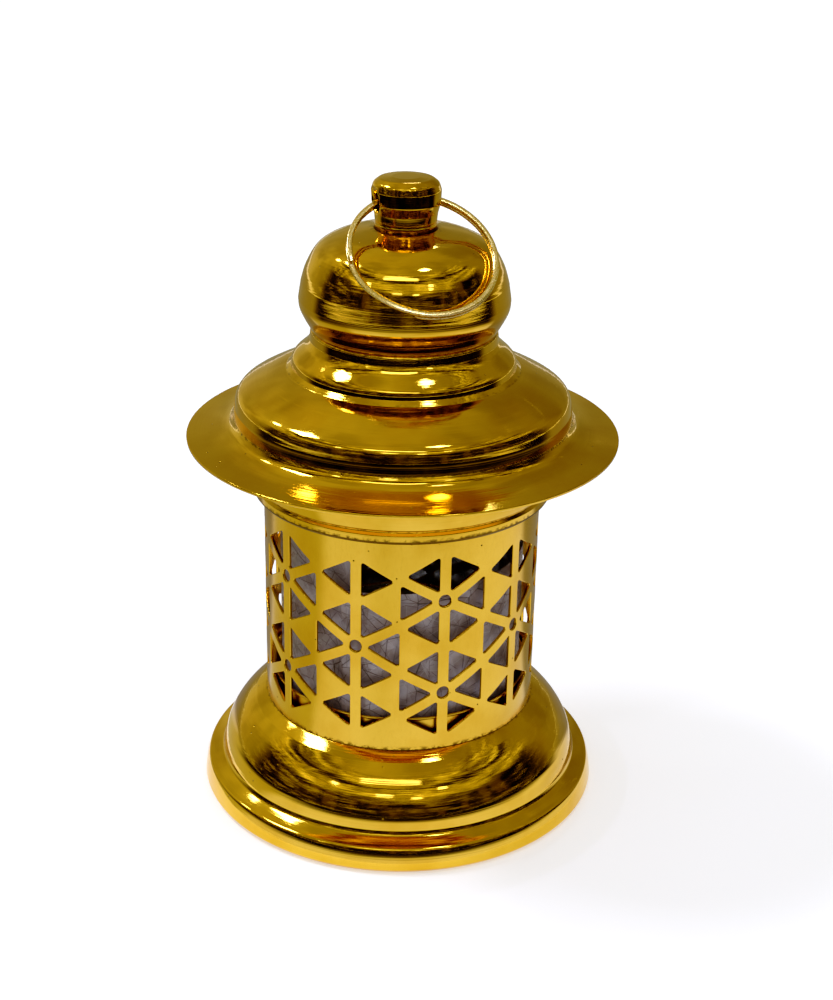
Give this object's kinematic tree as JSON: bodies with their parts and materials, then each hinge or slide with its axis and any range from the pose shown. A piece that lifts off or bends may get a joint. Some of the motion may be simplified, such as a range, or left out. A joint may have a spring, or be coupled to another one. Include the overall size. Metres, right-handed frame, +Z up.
{
  "type": "hanging candle lantern",
  "caption": "Small round candle lantern: bell-shaped foot, pierced cylindrical screen with a translucent liner, lift-off hood with a wide brim, onion dome and a knob with a hanging ring.",
  "frame": {"origin": "centre of the foot's flat underside, on the lantern's axis", "axes": "+Z up along the lantern's axis, -Y towards the front, +X to the right seen from the front"},
  "size_m": [0.09, 0.09, 0.1346],
  "materials": {
    "gold_plate": "mirror polished gold plate on spun sheet brass",
    "ring_wire": "polished gold plated flat wire",
    "mica_sheet": "thin translucent smoky sheet with crackle lines",
    "steel_fastener": "zinc plated steel",
    "candle_foil": "pressed aluminium foil cup",
    "candle_wax": "white paraffin wax",
    "candle_wick": "waxed cotton braid"
  },
  "bodies": {
    "base": {"base_shell": "gold_plate", "pierced_screen": "gold_plate", "screen_seam_strip": "gold_plate", "candle_cup": "gold_plate", "mica_liner": "mica_sheet", "cup_screw": "steel_fastener", "cup_washer": "steel_fastener", "cup_nut": "steel_fastener"},
    "hood": {"collar_ring": "gold_plate", "roof_canopy": "gold_plate", "dome_cap": "gold_plate", "finial_knob": "gold_plate", "hood_washer": "steel_fastener", "hood_screw": "steel_fastener"},
    "ring": {"hang_ring": "ring_wire"},
    "tealight": {"tealight_cup": "candle_foil", "wick_sustainer": "steel_fastener", "tealight_wax": "candle_wax", "wick": "candle_wick"}
  },
  "joints": [
    {"name": "hood_lift", "type": "slide", "parent": "base", "child": "hood", "axis": [0, 0, 1], "range_m": [0, 0.08]},
    {"name": "ring_swing", "type": "hinge", "parent": "hood", "child": "ring", "pos_m": [0, 0, 0.1298], "axis": [-0.9511, -0.309, 0], "range_deg": [0, 253]},
    {"name": "tealight_lift", "type": "slide", "parent": "base", "child": "tealight", "axis": [0, 0, 1], "range_m": [0, 0.05]}
  ]
}
